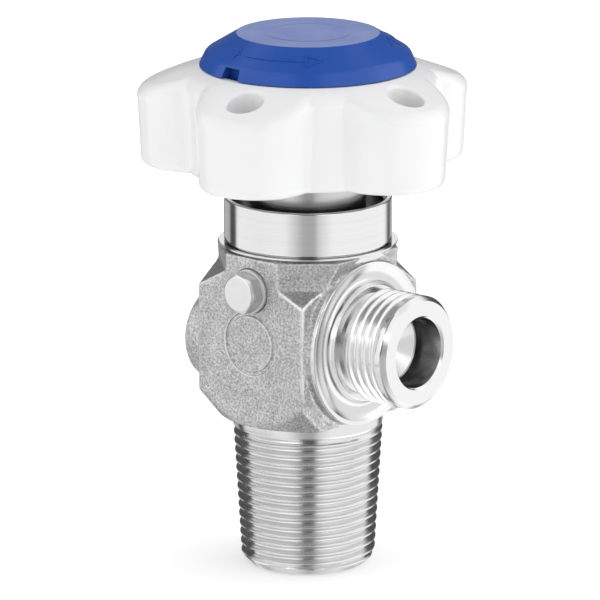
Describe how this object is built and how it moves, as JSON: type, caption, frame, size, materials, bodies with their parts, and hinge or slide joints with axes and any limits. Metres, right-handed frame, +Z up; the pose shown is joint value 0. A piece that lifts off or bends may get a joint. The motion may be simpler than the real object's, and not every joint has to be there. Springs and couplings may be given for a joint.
{
  "type": "gas cylinder valve",
  "caption": "Diaphragm valve for a gas cylinder: taper-threaded inlet stem, forged body, threaded side outlet, burst disc plug and a lobed handwheel with a coned cap.",
  "frame": {"origin": "centre of the inlet bore at the foot of the stem", "axes": "+Z up the stem towards the handwheel, +X out of the side outlet, -Y towards the burst disc plug"},
  "size_m": [0.0623, 0.0632, 0.1037],
  "materials": {
    "forged_steel": "blasted forging with turned faces and threads",
    "turned_steel": "turned, bright",
    "plated_steel": "satin plated",
    "spring_alloy": "rolled sheet and drawn wire",
    "brass": "turned",
    "seal_rubber": "moulded",
    "seat_plastic": "machined",
    "white_plastic": "moulded, glossy",
    "blue_plastic": "moulded, glossy"
  },
  "bodies": {
    "housing": {"valve_body": "forged_steel", "gland_nut": "turned_steel", "spindle_o_ring": "seal_rubber", "clamp_ring": "brass", "sealing_diaphragm": "spring_alloy", "backing_diaphragm": "spring_alloy", "return_spring": "spring_alloy", "relief_plug": "plated_steel", "relief_washer": "plated_steel", "burst_disc": "spring_alloy", "disc_gasket": "seat_plastic"},
    "thrust": {"thrust_pad": "brass", "slip_washer": "seat_plastic"},
    "wheel": {"upper_spindle": "turned_steel", "handwheel": "white_plastic", "drive_insert": "brass", "lock_washer": "plated_steel", "wheel_nut": "plated_steel", "colour_cap": "blue_plastic"},
    "plug": {"lower_spindle": "turned_steel", "seat_insert": "seat_plastic", "seat_retainer": "turned_steel"}
  },
  "joints": [
    {"name": "spindle_lift", "type": "slide", "parent": "housing", "child": "thrust", "axis": [0, 0, 1], "range_m": [0, 0.0015]},
    {"name": "handwheel_turn", "type": "hinge", "parent": "thrust", "child": "wheel", "pos_m": [0, 0, 0.088], "axis": [0, 0, 1], "range_deg": [0, 540]},
    {"name": "plug_lift", "type": "slide", "parent": "housing", "child": "plug", "axis": [0, 0, 1], "range_m": [0, 0.0015], "deforming": ["return_spring", "sealing_diaphragm", "backing_diaphragm"]}
  ],
  "couplings": [
    {"joint": "spindle_lift", "follows": "handwheel_turn", "m_per_rad": 0.00015915},
    {"joint": "plug_lift", "follows": "handwheel_turn", "m_per_rad": 0.00015915}
  ]
}
